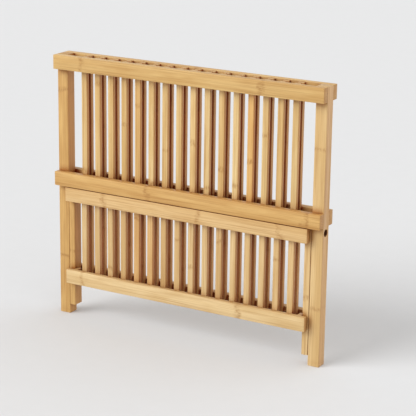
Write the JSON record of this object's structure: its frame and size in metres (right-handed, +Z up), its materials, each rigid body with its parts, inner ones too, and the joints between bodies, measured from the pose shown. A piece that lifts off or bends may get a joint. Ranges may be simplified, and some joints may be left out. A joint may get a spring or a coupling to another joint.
{
  "type": "folding dish drying rack",
  "caption": "Flat-folding slatted bamboo rack whose two frames cross on pivot screws to hold plates upright, with a drop-down shelf below for cups.",
  "frame": {"origin": "on the floor, below the middle of the folded rack", "axes": "+Z up along the legs, X along the rails, -Y is the front, where the drop shelf is"},
  "size_m": [0.419, 0.0382, 0.381],
  "materials": {
    "bamboo_rail": "smooth laminated bamboo, clear satin oil",
    "bamboo_leg": "smooth laminated bamboo, clear satin oil",
    "bamboo_slat": "planed bamboo slats, clear satin oil",
    "bamboo_shelf": "planed bamboo, clear satin oil",
    "steel": "blackened steel with fine turning marks"
  },
  "bodies": {
    "rear_frame": {"outer_leg_left": "bamboo_leg", "outer_leg_right": "bamboo_leg", "rear_top_rail": "bamboo_rail", "rear_mid_rail_and_slats": "bamboo_slat"},
    "front_frame": {"front_top_rail": "bamboo_rail", "front_mid_rail": "bamboo_rail", "front_slat_01": "bamboo_slat", "front_slat_02": "bamboo_slat", "front_slat_03": "bamboo_slat", "front_slat_04": "bamboo_slat", "front_slat_05": "bamboo_slat", "front_slat_06": "bamboo_slat", "front_slat_07": "bamboo_slat", "front_slat_08": "bamboo_slat", "front_slat_09": "bamboo_slat", "front_slat_10": "bamboo_slat", "front_slat_11": "bamboo_slat", "front_slat_12": "bamboo_slat", "front_slat_13": "bamboo_slat", "front_slat_14": "bamboo_slat", "front_slat_15": "bamboo_slat", "front_slat_16": "bamboo_slat", "inner_leg_left": "bamboo_leg", "inner_leg_right": "bamboo_leg", "upper_stretcher": "bamboo_rail", "lower_back_rail_and_slats": "bamboo_slat", "pivot_screw_left": "steel", "pivot_screw_right": "steel"},
    "drop_shelf": {"shelf_upper_rail": "bamboo_shelf", "shelf_lower_rail": "bamboo_shelf", "shelf_slat_01": "bamboo_shelf", "shelf_slat_02": "bamboo_shelf", "shelf_slat_03": "bamboo_shelf", "shelf_slat_04": "bamboo_shelf", "shelf_slat_05": "bamboo_shelf", "shelf_slat_06": "bamboo_shelf", "shelf_slat_07": "bamboo_shelf", "shelf_slat_08": "bamboo_shelf", "shelf_slat_09": "bamboo_shelf", "shelf_slat_10": "bamboo_shelf", "shelf_slat_11": "bamboo_shelf", "shelf_slat_12": "bamboo_shelf", "shelf_slat_13": "bamboo_shelf", "shelf_slat_14": "bamboo_shelf", "shelf_slat_15": "bamboo_shelf", "shelf_slat_16": "bamboo_shelf", "shelf_hinge_block_left": "bamboo_shelf", "shelf_hinge_block_right": "bamboo_shelf", "shelf_pin_left": "steel", "shelf_pin_right": "steel"}
  },
  "joints": [
    {"name": "frame_fold", "type": "hinge", "parent": "rear_frame", "child": "front_frame", "pos_m": [0, 0, 0.1855], "axis": [1, 0, 0], "range_deg": [0, 80]},
    {"name": "shelf_fold", "type": "hinge", "parent": "front_frame", "child": "drop_shelf", "pos_m": [0, -0.00494, 0.05], "axis": [1, 0, 0], "range_deg": [0, 52]}
  ]
}
